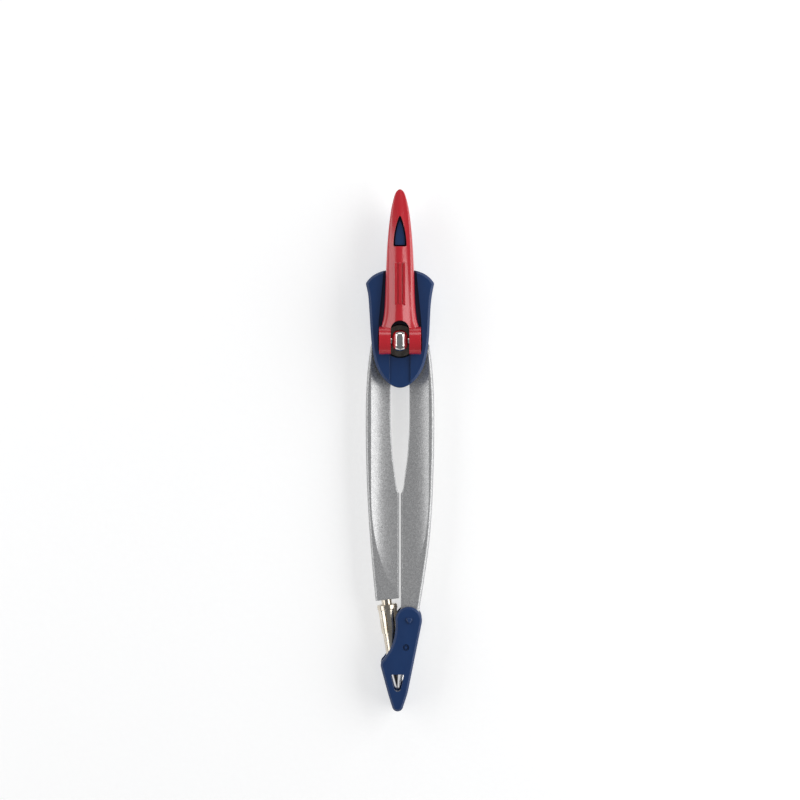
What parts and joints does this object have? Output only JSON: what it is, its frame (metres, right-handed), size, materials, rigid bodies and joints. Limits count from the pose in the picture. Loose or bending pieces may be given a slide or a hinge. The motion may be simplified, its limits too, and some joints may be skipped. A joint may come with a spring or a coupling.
{
  "type": "drawing compass",
  "caption": "School drawing compass with locking lever head, friction-held legs, clamped lead holder, fixed needle and a flip-over guard for both points.",
  "frame": {"origin": "middle of the closed compass's footprint, on the plane that its back lies on", "axes": "+Y towards the lever's tip along the length, +Z out of the front face, +X to the needle leg's side"},
  "size_m": [0.0208, 0.1565, 0.0188],
  "materials": {
    "navy_plastic": "satin moulded",
    "red_plastic": "gloss moulded",
    "metallic_paint": "metallic flake",
    "nickel": "bright nickel",
    "chrome": "polished",
    "dark_steel": "dark",
    "washer_plastic": "matte",
    "steel": "polished",
    "graphite": "graphite sheen"
  },
  "bodies": {
    "head": {"rear_head_shell": "navy_plastic", "front_head_shell": "navy_plastic", "shell_screws": "dark_steel", "shell_dowels": "dark_steel", "clamp_bolt": "chrome", "clamp_nut": "dark_steel", "spring_washer": "dark_steel", "rear_friction_washer": "washer_plastic", "middle_friction_washer": "washer_plastic", "front_friction_washer": "washer_plastic", "pressure_washer": "dark_steel"},
    "lever": {"lock_lever": "red_plastic", "lever_pin": "chrome"},
    "lead_arm": {"lead_leg": "metallic_paint", "lead_holder_stem": "nickel", "lead_collet": "nickel", "stem_set_screw": "dark_steel"},
    "clamp_sleeve": {"lead_clamp_sleeve": "nickel"},
    "lead_stick": {"lead": "graphite"},
    "needle_arm": {"needle_leg": "metallic_paint", "needle": "steel", "needle_ferrule": "steel", "needle_set_screw": "dark_steel"},
    "guard": {"point_guard": "navy_plastic", "guard_pivot_pin": "dark_steel"}
  },
  "joints": [
    {"name": "lever_hinge", "type": "hinge", "parent": "head", "child": "lever", "pos_m": [0, 0.0328, 0.0147], "axis": [1, 0, 0], "range_deg": [0, 30]},
    {"name": "lead_leg_hinge", "type": "hinge", "parent": "head", "child": "lead_arm", "pos_m": [0, 0.0328, 0.0053], "axis": [0, 0, -1], "range_deg": [0, 45]},
    {"name": "needle_leg_hinge", "type": "hinge", "parent": "head", "child": "needle_arm", "pos_m": [0, 0.0328, 0.0053], "axis": [0, 0, 1], "range_deg": [0, 45]},
    {"name": "guard_hinge", "type": "hinge", "parent": "needle_arm", "child": "guard", "pos_m": [0.0026, -0.051, 0.0053], "axis": [0, 0, 1], "range_deg": [0, 158]},
    {"name": "sleeve_twist", "type": "hinge", "parent": "lead_arm", "child": "clamp_sleeve", "pos_m": [-0.00344, -0.05056, 0.0053], "axis": [0.1219, -0.9925, 0], "range_deg": [-180, 180]},
    {"name": "lead_slide", "type": "slide", "parent": "lead_arm", "child": "lead_stick", "axis": [0.1219, -0.9925, 0], "range_m": [-0.008, 0]}
  ]
}
